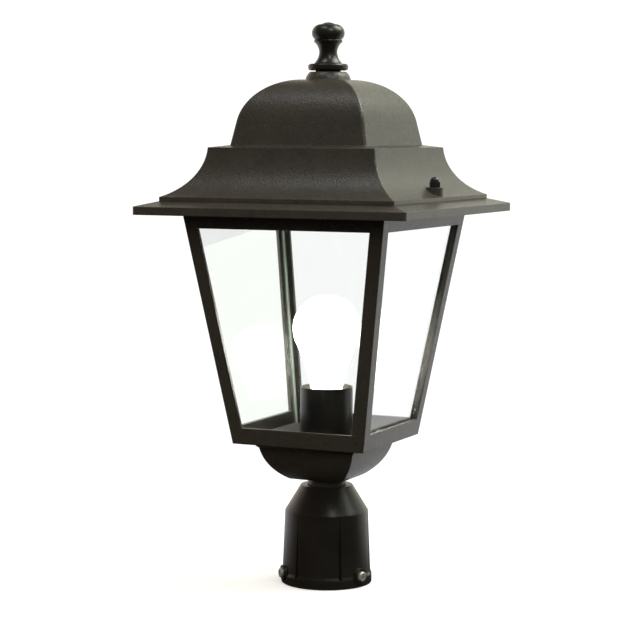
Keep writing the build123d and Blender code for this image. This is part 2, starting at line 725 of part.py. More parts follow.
def make_clip_screws():
    with BuildPart() as screws:
        for turn, along, level in clip_places():
            plane = wall_plane(turn, level, CLIP_SHEET)
            place = Plane(origin=plane.from_local_coords(Vector(along, 0, 0)),
                          x_dir=plane.x_dir, z_dir=plane.z_dir)
            add(pan_screw(place, CLIP_SCREW_D, CLIP_SHEET + CLIP_SCREW_REACH,
                          CLIP_SCREW_HEAD_R, CLIP_SCREW_HEAD_HEIGHT))
    return screws.part


# ---------------------------------------------------------------- roof
def roof_section(below):
    """The roof's section: foot, hollow skirt, ledge and a four-sided dome, down to a level."""
    arc_level = crown_level - DOME_ARC_R
    arc_half = DOME_HALF - math.tan(math.radians(DOME_LEAN)) * (
        arc_level + DOME_ARC_R * math.sin(math.radians(DOME_LEAN)) - dome_level
    ) - DOME_ARC_R * math.cos(math.radians(DOME_LEAN))
    with BuildSketch() as sketch:
        with BuildLine():
            Polyline(
                (0, seat_level - below),
                (ROOF_FOOT_HALF, seat_level - below),
                (ROOF_FOOT_HALF, skirt_level),
                (SKIRT_FOOT_HALF, skirt_level),
            )
            RadiusArc((SKIRT_FOOT_HALF, skirt_level), (LEDGE_HALF, ledge_level), SKIRT_ARC_R)
            shoulder = CenterArc((arc_half, arc_level), DOME_ARC_R, DOME_LEAN, 90 - DOME_LEAN)
            Polyline((LEDGE_HALF, ledge_level), (DOME_HALF, dome_level), shoulder @ 0)
            Polyline(shoulder @ 1, (0, crown_level), (0, seat_level - below))
        make_face()
        mirror(about=Plane.YZ)
    return sketch.sketch


def make_roof():
    outer = four_sided(roof_section(0), ROOF_FOOT_HALF + CUT_SPARE)
    # the section is carried on past the roof's foot, so that its hollow opens there
    with BuildSketch() as inside:
        add(roof_section(ROOF_WALL * 3))
        offset(amount=-ROOF_WALL, mode=Mode.REPLACE)
    hollow = four_sided(inside.sketch, ROOF_FOOT_HALF + CUT_SPARE)
    with BuildPart() as roof:
        add(outer)
        fillet(hips(roof, dome_level, crown_level), DOME_HIP_R)
        fillet(hips(roof, skirt_level, ledge_level), SKIRT_HIP_R)
        fillet(hips(roof, seat_level, skirt_level), ROOF_FOOT_CORNER_R)
        # the rounded boss under the finial
        with BuildSketch(Plane.XZ):
            with BuildLine():
                Polyline(
                    (0, crown_boss_level),
                    (0, crown_level - ROOF_WALL / 2),
                    (CROWN_BOSS_R, crown_level - ROOF_WALL / 2),
                    (CROWN_BOSS_R, crown_level),
                )
                middle_r = (CROWN_BOSS_R + CROWN_BOSS_TOP_R) / 2 + CROWN_BOSS_SWELL
                ThreePointArc(
                    (CROWN_BOSS_R, crown_level),
                    (middle_r, (crown_level + crown_boss_level) / 2),
                    (CROWN_BOSS_TOP_R, crown_boss_level),
                )
                Line((CROWN_BOSS_TOP_R, crown_boss_level), (0, crown_boss_level))
            make_face()
        revolve(axis=Axis.Z)
        add(hollow, mode=Mode.SUBTRACT)
        # the two bosses that the cap nuts bear on
        with BuildSketch(Plane.XY.offset(seat_level)):
            with GridLocations(STUD_SPACING, 0, 2, 1):
                Circle(STUD_BOSS_R)
        extrude(amount=STUD_BOSS_HEIGHT)
        with BuildSketch(Plane.XY.offset(seat_level)):
            with GridLocations(STUD_SPACING, 0, 2, 1):
                Circle(STUD_D / 2 + STUD_HOLE_CLEARANCE)
        extrude(amount=STUD_BOSS_HEIGHT, mode=Mode.SUBTRACT)
        with BuildSketch(Plane.XY.offset(crown_level - ROOF_WALL - CUT_SPARE)):
            Circle(FINIAL_STUD_D / 2 + STUD_HOLE_CLEARANCE)
        extrude(amount=ROOF_WALL + CROWN_BOSS_HEIGHT + CUT_SPARE * 2, mode=Mode.SUBTRACT)
    return roof.part


def make_roof_studs():
    foot = plate_level - STUD_SEAT_HEIGHT
    with BuildPart() as studs:
        with BuildSketch(Plane.XY.offset(foot)):
            with GridLocations(STUD_SPACING, 0, 2, 1):
                Circle(STUD_D / 2)
        extrude(amount=stud_boss_level + STUD_ENGAGE - foot)
        chamfer(studs.edges().filter_by(GeomType.CIRCLE).group_by(Axis.Z)[-1], STUD_CHAMFER)
    return studs.part


def make_cap_nut(side):
    """A domed cap nut, its hexagon down on the roof's boss."""
    x = side * STUD_SPACING / 2
    dome_r = CAP_NUT_FLATS / 2 - CAP_NUT_SHOULDER
    dome_centre = stud_boss_level + CAP_NUT_HEIGHT - dome_r
    with BuildPart() as nut:
        with BuildSketch(Plane.XY.offset(stud_boss_level)):
            with Locations((x, 0)):
                RegularPolygon(CAP_NUT_FLATS / 2, 6, major_radius=False)
        extrude(amount=CAP_NUT_HEX_HEIGHT)
        with BuildSketch(Plane.XZ):
            with BuildLine():
                dome = CenterArc((x, dome_centre), dome_r, 0, 90)
                Polyline(dome @ 1, (x, stud_boss_level), (x + dome_r, stud_boss_level), dome @ 0)
            make_face()
        revolve(axis=Axis((x, 0, 0), (0, 0, 1)))
        with BuildSketch(Plane.XY.offset(stud_boss_level)):
            with Locations((x, 0)):
                Circle(STUD_D / 2 + THREAD_CLEARANCE)
        extrude(amount=CAP_NUT_HEIGHT - CAP_NUT_CAP, mode=Mode.SUBTRACT)
    return nut.part


# ---------------------------------------------------------------- finial
def make_finial():
    """Turned finial: disc, drawn-in waist, bead, flattened ball and a button on top."""
    disc = finial_level + FINIAL_DISC_HEIGHT
    waist = disc + FINIAL_WAIST_LEVEL
    bead = disc + FINIAL_WAIST_HEIGHT
    bun_foot = bead + FINIAL_BEAD_HEIGHT
    bun_wide = bun_foot + FINIAL_BUN_LOWER
    button = bun_wide + FINIAL_BUN_UPPER
    rounding = FINIAL_DISC_ROUND
    # the ball's lower round, upright at its widest and ending at the bead
    swell = FINIAL_BUN_R - FINIAL_BUN_FOOT_R
    lower_r = (swell**2 + FINIAL_BUN_LOWER**2) / (2 * swell)
    lower_turn = math.degrees(math.asin(FINIAL_BUN_LOWER / lower_r))
    button_r = (FINIAL_BUTTON_R**2 + FINIAL_BUTTON_HEIGHT**2) / (2 * FINIAL_BUTTON_HEIGHT)
    button_turn = math.degrees(math.asin(FINIAL_BUTTON_R / button_r))
    with BuildPart() as finial:
        with BuildSketch(Plane.XZ):
            with BuildLine():
                Polyline(
                    (0, finial_level),
                    (FINIAL_DISC_R - rounding, finial_level),
                    (FINIAL_DISC_R, finial_level + rounding),
                    (FINIAL_DISC_R, disc - rounding),
                    (FINIAL_DISC_R - rounding, disc),
                    (FINIAL_FLARE_R, disc),
                    (FINIAL_FLARE_R, disc + FINIAL_FLARE_STEP),
                )
                ThreePointArc(
                    (FINIAL_FLARE_R, disc + FINIAL_FLARE_STEP),
                    ((FINIAL_WAIST_R + FINIAL_FLARE_R) / 2 - FINIAL_HOLLOW,
                     disc + FINIAL_WAIST_LEVEL / 2),
                    (FINIAL_WAIST_R, waist),
                )
                ThreePointArc(
                    (FINIAL_WAIST_R, waist),
                    ((FINIAL_WAIST_R + FINIAL_THROAT_R) / 2 - FINIAL_HOLLOW, (waist + bead) / 2),
                    (FINIAL_THROAT_R, bead),
                )
                ThreePointArc(
                    (FINIAL_THROAT_R, bead),
                    (FINIAL_BEAD_R, bead + FINIAL_BEAD_HEIGHT / 2),
                    (FINIAL_BUN_FOOT_R, bun_foot),
                )
                CenterArc((FINIAL_BUN_R - lower_r, bun_wide), lower_r, -lower_turn, lower_turn)
                upper = CenterArc((FINIAL_BUN_R - FINIAL_BUN_UPPER, bun_wide),
                                  FINIAL_BUN_UPPER, 0, 90)
                top = CenterArc((0, button + FINIAL_BUTTON_HEIGHT - button_r), button_r,
                                90 - button_turn, button_turn)
                Line(upper @ 1, top @ 0)
                Line(top @ 1, (0, finial_level))
            make_face()
        revolve(axis=Axis.Z)
        with BuildSketch(Plane.XY.offset(finial_level)):
            Circle(FINIAL_STUD_D / 2 + THREAD_CLEARANCE)
        extrude(amount=FINIAL_STUD_ENGAGE + FINIAL_HOLE_SPARE, mode=Mode.SUBTRACT)
    return finial.part


def make_finial_gasket():
    with BuildPart() as gasket:
        with BuildSketch(Plane.XY.offset(crown_boss_level)):
            Circle(FINIAL_GASKET_R)
            Circle(FINIAL_STUD_D / 2 + STUD_HOLE_CLEARANCE, mode=Mode.SUBTRACT)
        extrude(amount=FINIAL_GASKET_HEIGHT)
    return gasket.part


finial_washer_level = crown_level - ROOF_WALL - FINIAL_WASHER_HEIGHT
finial_nut_level = finial_washer_level - FINIAL_NUT_HEIGHT


def make_finial_stud():
    foot = finial_nut_level - FINIAL_STUD_SPARE
    with BuildPart() as stud:
        with BuildSketch(Plane.XY.offset(foot)):
            Circle(FINIAL_STUD_D / 2)
        extrude(amount=finial_level + FINIAL_STUD_ENGAGE - foot)
    return stud.part


def make_finial_washer():
    with BuildPart() as washer:
        with BuildSketch(Plane.XY.offset(finial_washer_level)):
            Circle(FINIAL_WASHER_R)
            Circle(FINIAL_STUD_D / 2 + THREAD_CLEARANCE, mode=Mode.SUBTRACT)
        extrude(amount=FINIAL_WASHER_HEIGHT)
    return washer.part


def make_finial_nut():
    with BuildPart() as nut:
        with BuildSketch(Plane.XY.offset(finial_nut_level)):
            RegularPolygon(FINIAL_NUT_FLATS / 2, 6, major_radius=False)
            Circle(FINIAL_STUD_D / 2 + THREAD_CLEARANCE, mode=Mode.SUBTRACT)
        extrude(amount=FINIAL_NUT_HEIGHT)
    return nut.part


# ---------------------------------------------------------------- lampholder
def make_socket_cover():
    """The plain cup that hides the lampholder."""
    with BuildPart() as cover:
        with BuildSketch(Plane.XY.offset(cage_floor_level)):
            Circle(COVER_R)
        extrude(amount=COVER_HEIGHT)
        with BuildSketch(Plane.XY.offset(cage_floor_level + COVER_WALL)):
            Circle(COVER_R - COVER_WALL)
        extrude(amount=COVER_HEIGHT, mode=Mode.SUBTRACT)
        with BuildSketch(Plane.XY.offset(cage_floor_level)):
            Circle(WIRE_HOLE_R)
            with GridLocations(HOLDER_SCREW_SPACING, 0, 2, 1):
                Circle(HOLDER_SCREW_D / 2 + THREAD_CLEARANCE)
        extrude(amount=COVER_WALL, mode=Mode.SUBTRACT)
        fillet(cover.edges().filter_by(GeomType.CIRCLE).group_by(Axis.Z)[-1], COVER_ROUND)
    return cover.part


shell_r = CAP_R + SHELL_GAP + SHELL_WALL


def make_lampholder():
    """Porcelain body: a flange for two screws and a well for the screw shell."""
    with BuildPart() as holder:
        with BuildSketch(Plane.XY.offset(holder_level)):
            Circle(HOLDER_BASE_R)
        extrude(amount=HOLDER_BASE_HEIGHT)
        with BuildSketch(Plane.XY.offset(holder_level)):
            Circle(HOLDER_R)
        extrude(amount=HOLDER_HEIGHT)
        fillet(holder.edges().filter_by(GeomType.CIRCLE).group_by(Axis.Z)[-1], HOLDER_ROUND)
        with BuildSketch(Plane.XY.offset(holder_floor_level)):
            Circle(shell_r + SHELL_FIT)
        extrude(amount=HOLDER_HEIGHT, mode=Mode.SUBTRACT)
        with BuildSketch(Plane.XY.offset(holder_level)):
            with GridLocations(HOLDER_SCREW_SPACING, 0, 2, 1):
                Circle(HOLDER_SCREW_D / 2 + THREAD_CLEARANCE)
            with GridLocations(0, CONTACT_HOLE_SPACING, 1, 2):
                Circle(CONTACT_HOLE_R)
        extrude(amount=HOLDER_BASE_HEIGHT, mode=Mode.SUBTRACT)
    return holder.part


def make_lampholder_screws():
    length = HOLDER_BASE_HEIGHT + COVER_WALL + CAGE_FLOOR + HOLDER_SCREW_SPARE
    with BuildPart() as screws:
        with GridLocations(HOLDER_SCREW_SPACING, 0, 2, 1):
            add(pan_screw(Plane.XY.offset(holder_floor_level), HOLDER_SCREW_D, length,
                          HOLDER_SCREW_HEAD_R, HOLDER_SCREW_HEAD_HEIGHT))
    return screws.part


def make_screw_shell():
    """The brass shell that the lamp's cap screws into, with a rolled foot."""
    low = holder_floor_level
    high = holder_level + HOLDER_HEIGHT - SHELL_STOP
    foot_r = shell_r - SHELL_WALL - SHELL_FLANGE
    with BuildPart() as shell:
        with BuildSketch(Plane.XZ):
            Polygon(
                (foot_r, low),
                (shell_r, low),
                (shell_r, high),
                (shell_r - SHELL_WALL, high),
                (shell_r - SHELL_WALL, low + SHELL_WALL),
                (foot_r, low + SHELL_WALL),
                align=None,
            )
        revolve(axis=Axis.Z)
    return shell.part


def make_centre_contact():
    """A brass strip on the holder's floor, with its middle sprung up to the lamp's tip."""
    low, high = holder_floor_level, holder_floor_level + CONTACT_HEIGHT
    end, foot, top = CONTACT_LENGTH / 2, CONTACT_FOOT / 2, CONTACT_TOP / 2
    bend = CONTACT_SHEET * CONTACT_BEND
    with BuildPart() as contact:
        with BuildSketch(Plane.YZ):
            Polygon(
                (-end, low),
                (-foot + bend, low),
                (-top + bend, high - CONTACT_SHEET),
                (top - bend, high - CONTACT_SHEET),
                (foot - bend, low),
                (end, low),
                (end, low + CONTACT_SHEET),
                (foot + bend, low + CONTACT_SHEET),
                (top + bend, high),
                (-top - bend, high),
                (-foot - bend, low + CONTACT_SHEET),
                (-end, low + CONTACT_SHEET),
                align=None,
            )
        extrude(amount=CONTACT_WIDTH / 2, both=True)
    return contact.part


def make_ground_screw():
    """The bonding screw, up through the cage's floor from inside the bowl."""
    place = Plane(origin=(-GROUND_SCREW_REACH, GROUND_SCREW_REACH, cage_level),
                  x_dir=(1, 0, 0), z_dir=(0, 0, -1))
    return pan_screw(place, GROUND_SCREW_D, CAGE_FLOOR, GROUND_SCREW_HEAD_R,
                     GROUND_SCREW_HEAD_HEIGHT)


# ---------------------------------------------------------------- lamp
def make_bulb_cap():
    """The lamp's rolled-thread cap: a thin shell with a rounded thread form in rings."""
    turns = int(CAP_HEIGHT / CAP_THREAD_PITCH)
    margin = (CAP_HEIGHT - turns * CAP_THREAD_PITCH) / 2
    root_r = CAP_R - CAP_THREAD_DEPTH
    foot_r = TIP_R + INSULATOR_FLARE
    with BuildPart() as cap:
        with BuildSketch(Plane.XZ):
            with BuildLine():
                Polyline(
                    (root_r, cap_level + margin),
                    (root_r, cap_level + CAP_FOOT_RISE),
                    (foot_r, cap_level),
                    (foot_r, cap_level + CAP_SHEET),
                    (root_r - CAP_SHEET, cap_level + CAP_FOOT_RISE + CAP_SHEET),
                    (root_r - CAP_SHEET, glass_level),
                    (root_r, glass_level),
                    (root_r, glass_level - margin),
                )
                for k in range(turns):
                    foot = cap_level + margin + CAP_THREAD_PITCH * k
                    ThreePointArc(
                        (root_r, foot),
                        (CAP_R, foot + CAP_THREAD_PITCH / 2),
                        (root_r, foot + CAP_THREAD_PITCH),
                    )
            make_face()
        revolve(axis=Axis.Z)
    return cap.part


def make_bulb_insulator():
    """Black glass between the cap and the tip."""
    with BuildPart() as insulator:
        with BuildSketch(Plane.XZ):
            Polygon(
                (0, lamp_level + TIP_HEIGHT),
                (TIP_R, lamp_level + TIP_HEIGHT),
                (TIP_R + INSULATOR_FLARE, cap_level),
                (0, cap_level),
                align=None,
            )
        revolve(axis=Axis.Z)
    return insulator.part


def make_bulb_contact():
    """The soldered tip."""
    with BuildPart() as tip:
        with BuildSketch(Plane.XY.offset(lamp_level)):
            Circle(TIP_R)
        extrude(amount=TIP_HEIGHT)
        fillet(tip.edges().filter_by(GeomType.CIRCLE).group_by(Axis.Z)[0], TIP_ROUND)
    return tip.part


def bulb_outline(inset):
    """Half the glass's section: a round crown on a shape that draws in to the cap."""
    neck_r = CAP_R - CAP_THREAD_DEPTH - CAP_SHEET - LAMP_TUCK_GAP
    centre_level = lamp_level + LAMP_HEIGHT - LAMP_R
    radius = LAMP_R - inset
    foot = glass_level - LAMP_TUCK
    with BuildSketch() as sketch:
        with BuildLine():
            crown = CenterArc(
                (0, centre_level), radius, -LAMP_CROWN_TURN, LAMP_CROWN_TURN + 90)
            throat = (CAP_R - inset, glass_level + LAMP_GLASS / 2)
            shoulder = (CAP_R + LAMP_NECK_FLARE - inset, glass_level + LAMP_NECK_HEIGHT)
            Polyline((0, foot), (neck_r - inset, foot), (neck_r - inset, glass_level), throat,
                     shoulder)
            middle = (crown @ 0 + Vector(*shoulder)) / 2
            hollow = (middle.X - LAMP_HOLLOW, middle.Y + LAMP_HOLLOW)
            ThreePointArc(shoulder, hollow, crown @ 0)
            Line(crown @ 1, (0, foot))
        make_face()
    return sketch.sketch


def make_bulb_glass():
    with BuildPart() as glass:
        with BuildSketch(Plane.XZ):
            add(bulb_outline(0))
        revolve(axis=Axis.Z)
        with BuildSketch(Plane.XZ):
            add(bulb_outline(LAMP_GLASS))
        revolve(axis=Axis.Z, mode=Mode.SUBTRACT)
    return glass.part


# ---------------------------------------------------------------- the pieces
os.makedirs("parts", exist_ok=True)

save(make_post_collar(), "post_collar")
for name, angle in zip(("right", "back", "left"), set_screw_angles):
    save(make_set_screw(angle), f"set_screw_{name}")
save(make_stem_tube(), "stem_tube")
save(make_stem_locknuts(), "stem_locknuts")
save(make_stem_washers(), "stem_washers")
save(make_bowl(), "bowl")
save(make_bowl_screws(), "bowl_screws")
save(make_cage(), "cage")
for turn, name in enumerate(("front", "right", "back", "left")):
    save(make_glass(turn), f"glass_{name}")
save(make_corner_seals(), "corner_seals")
save(make_glass_clips(), "glass_clips")
save(make_clip_screws(), "clip_screws")
save(make_roof(), "roof")
save(make_roof_studs(), "roof_studs")
save(make_cap_nut(1), "cap_nut_right")
save(make_cap_nut(-1), "cap_nut_left")
save(make_finial(), "finial")
save(make_finial_gasket(), "finial_gasket")
save(make_finial_stud(), "finial_stud")
save(make_finial_washer(), "finial_washer")
save(make_finial_nut(), "finial_nut")
save(make_socket_cover(), "socket_cover")
save(make_lampholder(), "lampholder")
save(make_lampholder_screws(), "lampholder_screws")
save(make_screw_shell(), "screw_shell")
save(make_centre_contact(), "centre_contact")
save(make_ground_screw(), "ground_screw")
save(make_bulb_cap(), "bulb_cap")
save(make_bulb_insulator(), "bulb_insulator")
save(make_bulb_contact(), "bulb_contact")
save(make_bulb_glass(), "bulb_glass")
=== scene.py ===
# %% [markdown]
# # A post top lantern
# This lesson dresses a garden lantern. The real one is cast in aluminium in four main pieces: a
# fitter with a round bore, a bowl, a tapered cage with a wide brim, and a roof that two cap nuts
# hold down. Its measured pieces come ready in model.glb, each with the right size, place and
# surface. What is left for Blender is the paint, the glass and the light, and the small pieces
# whose detail a measured model leaves out, such as the recess in a screw's head.
# %% Load the measured lantern
import math
import bpy
import bmesh
from mathutils import Matrix, Vector


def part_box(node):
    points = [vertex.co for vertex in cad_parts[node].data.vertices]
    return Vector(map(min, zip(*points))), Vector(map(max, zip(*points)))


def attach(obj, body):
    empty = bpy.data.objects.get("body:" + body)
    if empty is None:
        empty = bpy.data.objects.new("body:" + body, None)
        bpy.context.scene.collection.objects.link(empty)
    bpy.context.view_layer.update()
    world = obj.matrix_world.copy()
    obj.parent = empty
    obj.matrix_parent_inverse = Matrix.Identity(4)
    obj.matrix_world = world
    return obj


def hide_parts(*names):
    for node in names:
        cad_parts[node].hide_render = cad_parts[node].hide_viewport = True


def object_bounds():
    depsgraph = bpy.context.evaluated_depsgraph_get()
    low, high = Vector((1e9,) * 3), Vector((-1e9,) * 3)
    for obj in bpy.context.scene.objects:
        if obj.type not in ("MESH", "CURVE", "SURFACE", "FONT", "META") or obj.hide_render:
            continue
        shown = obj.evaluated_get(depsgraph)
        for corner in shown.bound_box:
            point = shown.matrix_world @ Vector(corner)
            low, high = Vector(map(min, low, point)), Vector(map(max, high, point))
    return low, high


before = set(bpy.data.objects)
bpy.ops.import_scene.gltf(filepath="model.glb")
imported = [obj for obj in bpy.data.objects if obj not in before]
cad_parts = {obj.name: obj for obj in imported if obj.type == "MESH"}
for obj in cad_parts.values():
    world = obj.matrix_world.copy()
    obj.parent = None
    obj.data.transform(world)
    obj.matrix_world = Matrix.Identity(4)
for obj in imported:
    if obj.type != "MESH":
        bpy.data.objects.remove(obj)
lantern_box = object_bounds()
MM = 0.001
low, high = lantern_box
print(f"{len(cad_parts)} pieces, {(high.x - low.x) * 1000:.0f} mm wide and "
      f"{(high.z - low.z) * 1000:.0f} mm high")

# %% [markdown]
# The camera stands where the photographer stood: nearly level with the cage, a little to the right
# of the front face, and far back with a long lens, so that the upright edges hardly converge. The
# lens was worked out from the width and slant of the lantern's edges.
# %% The camera
LENS = 113.4
CAMERA_TURN = math.radians(24.91)
CAMERA_DROP = math.radians(5.353)
CAMERA_ROLL = math.radians(0.179)
CAMERA_DISTANCE = 1.9422
CAMERA_HEIGHT = 0.43814
CAMERA_SIDESTEP = 0.00706

right = Vector((math.cos(CAMERA_TURN), math.sin(CAMERA_TURN), 0))
back = Vector((-math.sin(CAMERA_TURN), math.cos(CAMERA_TURN), 0))
forward = back * math.cos(CAMERA_DROP) - Vector((0, 0, math.sin(CAMERA_DROP)))
upward = right.cross(forward)
across = right * math.cos(CAMERA_ROLL) + upward * math.sin(CAMERA_ROLL)
upright = upward * math.cos(CAMERA_ROLL) - right * math.sin(CAMERA_ROLL)
stand = -back * CAMERA_DISTANCE - right * CAMERA_SIDESTEP + Vector((0, 0, CAMERA_HEIGHT))

camera = bpy.data.objects.new("camera", bpy.data.cameras.new("camera"))
camera.data.lens = LENS
camera.matrix_world = Matrix((across, upright, -forward)).transposed().to_4x4()
camera.matrix_world.translation = stand
bpy.context.collection.objects.link(camera)
bpy.context.scene.camera = camera
print(f"camera {stand.length:.2f} m from the fitter's rim, {LENS} mm lens")

# %% [markdown]
# A finish is a small machine of nodes. Wiring each one by hand hides what it does, so two small
# classes write it as sums instead. `Value` wraps a socket, and Python's own signs on it add Math
# nodes. `Graph` holds a node tree, and its one method `node` adds any other node from its type, its
# settings and what goes into its sockets.
# %% Shader maths in plain Python
class Value:
    """The output of a node, which +, -, * and / turn into Math nodes."""

    def __init__(self, graph, socket):
        self.graph, self.socket = graph, socket

    def __add__(self, other): return self.graph.maths("ADD", self, other)
    def __radd__(self, other): return self.graph.maths("ADD", other, self)
    def __sub__(self, other): return self.graph.maths("SUBTRACT", self, other)
    def __rsub__(self, other): return self.graph.maths("SUBTRACT", other, self)
    def __mul__(self, other): return self.graph.maths("MULTIPLY", self, other)
    def __rmul__(self, other): return self.graph.maths("MULTIPLY", other, self)
    def __truediv__(self, other): return self.graph.maths("DIVIDE", self, other)


class Graph:
    """A node tree that is filled from expressions."""

    def __init__(self, tree):
        self.tree = tree
        tree.nodes.clear()

    def node(self, kind, settings=None, inputs=None, output=0):
        made = self.tree.nodes.new(kind)
        for name, setting in (settings or {}).items():
            setattr(made, name, setting)
        for name, fed in (inputs or {}).items():
            if isinstance(fed, Value):
                self.tree.links.new(fed.socket, made.inputs[name])
            else:
                made.inputs[name].default_value = fed
        return Value(self, made.outputs[output]) if len(made.outputs) else None

    def maths(self, operation, first, second=0.0):
        return self.node("ShaderNodeMath", {"operation": operation}, {0: first, 1: second})

    def between(self, value, low, high, to_low=0.0, to_high=1.0):
        """The value's run from low to high, stretched to another run and held at its ends."""
        return self.node("ShaderNodeMapRange", None, {
            "Value": value, "From Min": low, "From Max": high,
            "To Min": to_low, "To Max": to_high})

    def blend(self, mask, first, second):
        """One colour where the mask is 0 and another where it is 1."""
        return self.node("ShaderNodeMix", {"data_type": "RGBA"},
                         {0: mask, 6: (*first, 1), 7: (*second, 1)}, 2)


print("graphs are ready")

# %% [markdown]
# The lantern was photographed against white, with its light high above and the room dark behind
# the photographer. Black paint shows mostly what it reflects, so that dark side matters as much as
# the lamps do: without it the front faces would turn grey. The world is therefore white where the
# camera looks at it, and fades from white behind the lantern to dark in front for reflections. To
# the rest it gives a soft light, most of it from a little above the horizon, warm on the left and
# faintly green on the right.
# %% The room's light
def sight(graph):
    """What a ray is for: 1 if it's seen straight or through glass, and 1 if it's mirrored."""
    path = {name: graph.node("ShaderNodeLightPath", output=name) for name in (
        "Is Camera Ray", "Is Transmission Ray", "Diffuse Depth", "Glossy Depth")}
    spread = graph.between(path["Diffuse Depth"], 0, 1)
    glossed = graph.between(path["Glossy Depth"], 0, 1)
    straight = graph.between(path["Is Camera Ray"] + path["Is Transmission Ray"], 0, 1)
    return straight * (1 - spread) * (1 - glossed), glossed * (1 - spread)


BACKDROP_GLOW = 1.12        # a little past white, so that it stays pale through two panes
WARM, GREENISH = (1.0, 0.86, 0.74), (0.97, 1.0, 0.84)

world = bpy.data.worlds.new("studio")
world.use_nodes = True
room = Graph(world.node_tree)
seen, mirrored = sight(room)
looking = room.node("ShaderNodeTexCoord", output="Generated")
side, depth, rise = (room.node("ShaderNodeSeparateXYZ", None, {0: looking}, k) for k in range(3))
behind = depth * math.cos(CAMERA_TURN) - side * math.sin(CAMERA_TURN)
rightward = side * math.cos(CAMERA_TURN) + depth * math.sin(CAMERA_TURN)
ahead = (room.between(behind, -0.1, 0.7, 0.01, 1.15)      # dark in front and white behind,
         * room.between(rise, 0.35, 0.6, 1.0, 0.12))      # but dim from high up
ambient = (room.between(rise, 0.0, 0.35, 0.25, 1.6)       # little from below the horizon,
           * room.between(rise, 0.4, 0.9, 1.0, 0.15))     # and little from straight above
tone = room.blend(room.between(rightward, -0.5, 0.5), WARM, GREENISH)
light = room.node("ShaderNodeBackground", None, {
    "Color": tone, "Strength": mirrored * ahead + (1 - mirrored) * ambient})
backdrop = room.node("ShaderNodeBackground", None, {
    "Color": (1, 1, 1, 1), "Strength": BACKDROP_GLOW})
room.node("ShaderNodeOutputWorld", None, {"Surface": room.node(
    "ShaderNodeMixShader", None, {0: seen, 1: light, 2: backdrop})})
bpy.context.scene.world = world
bpy.context.scene.view_settings.view_transform = "Standard"
print("world:", len(room.tree.nodes), "nodes")

# %% [markdown]
# Three lamps help the room. The key stands high behind on the right, a small bluish one in front on
# the right draws the lines of light along the hips, and a long one overhead puts the sheen where
# the roof curves halfway between upright and level.
# %% The lamps
def softbox(name, place, aim, width, height, power, tone):
    """A flat lamp at a place, whose wide beam faces another."""
    lamp = bpy.data.lights.new(name, "AREA")
    lamp.shape, lamp.size, lamp.size_y = "RECTANGLE", width, height
    lamp.energy, lamp.color, lamp.spread = power, tone, math.radians(BEAM)
    carrier = bpy.data.objects.new(name, lamp)
    carrier.location = place
    carrier.rotation_euler = (Vector(aim) - Vector(place)).to_track_quat("-Z", "Y").to_euler()
    carrier.visible_camera = False
    bpy.context.collection.objects.link(carrier)


BEAM = 140                  # degrees
SKIRT, DOME = (0, 0, 0.42), (0, 0, 0.48)
softbox("key", place=(0.85, 0.75, 1.70), aim=SKIRT, width=1.2, height=1.0,
        power=16, tone=(0.98, 1.0, 0.88))
softbox("glint", place=(0.85, -0.75, 1.55), aim=DOME, width=0.35, height=0.5,
        power=2.5, tone=(0.84, 0.94, 1.0))
softbox("overhead", place=(-0.25, -0.40, 1.65), aim=SKIRT, width=0.6, height=0.3,
        power=1.6, tone=(0.94, 0.98, 1.0))
print("a key lamp, a small one for the glints and a long one overhead")

# %% [markdown]
# The floor is pale and plain. It keeps the lantern's soft shadow close by and turns to the same
# white as the room further out, so no line shows where it ends. Reflections see it as dark in front
# of the lantern as the room is there, because nothing bright lay beneath the real lantern.
# %% The floor
FLOOR_REACH = 6.0
FLOOR_DROP = 0.0004         # keeps it just clear of the fitter's rim
FLOOR_GLOW = 0.42           # lifts the floor near the lantern until only its shadow is grey
floor_skin = bpy.data.meshes.new("floor")
floor_skin.from_pydata([(-FLOOR_REACH, -FLOOR_REACH, 0), (FLOOR_REACH, -FLOOR_REACH, 0),
                        (FLOOR_REACH, FLOOR_REACH, 0), (-FLOOR_REACH, FLOOR_REACH, 0)],
                       [], [(0, 1, 2, 3)])
floor_skin.transform(Matrix.Translation((0, 0, -FLOOR_DROP)))
floor = bpy.data.objects.new("floor", floor_skin)
bpy.context.collection.objects.link(floor)

pale = bpy.data.materials.new("pale_floor")
pale.use_nodes = True
ground = Graph(pale.node_tree)
seen, mirrored = sight(ground)
spot = ground.node("ShaderNodeTexCoord", output="Object")
reach = ground.node("ShaderNodeVectorMath", {"operation": "LENGTH"}, {0: spot}, 1)
side, depth = (ground.node("ShaderNodeSeparateXYZ", None, {0: spot}, k) for k in range(2))
behind = depth * math.cos(CAMERA_TURN) - side * math.sin(CAMERA_TURN)
far = ground.between(reach, 0.25, 0.75)
matt = ground.node("ShaderNodeBsdfDiffuse", None, {"Color": (0.80, 0.80, 0.80, 1)})
glow = ground.node("ShaderNodeEmission", None, {"Strength": FLOOR_GLOW})
near_floor = ground.node("ShaderNodeAddShader", None, {0: matt, 1: glow})
white = ground.node("ShaderNodeEmission", None, {"Strength": BACKDROP_GLOW})
shown = ground.node("ShaderNodeMixShader", None, {0: far, 1: near_floor, 2: white})
dim = ground.node("ShaderNodeBsdfDiffuse", None, {"Color": (0.03, 0.03, 0.03, 1)})
mirror = ground.node("ShaderNodeEmission", None,
                     {"Strength": ground.between(behind, 0.0, 0.3, 0.01, 1.05)})
hidden = ground.node("ShaderNodeMixShader", None, {0: mirrored, 1: dim, 2: mirror})
both = ground.node("ShaderNodeMixShader", None, {0: seen, 1: hidden, 2: shown})
ground.node("ShaderNodeOutputMaterial", None, {"Surface": both})
floor_skin.materials.append(pale)
print("floor laid at the fitter's rim")

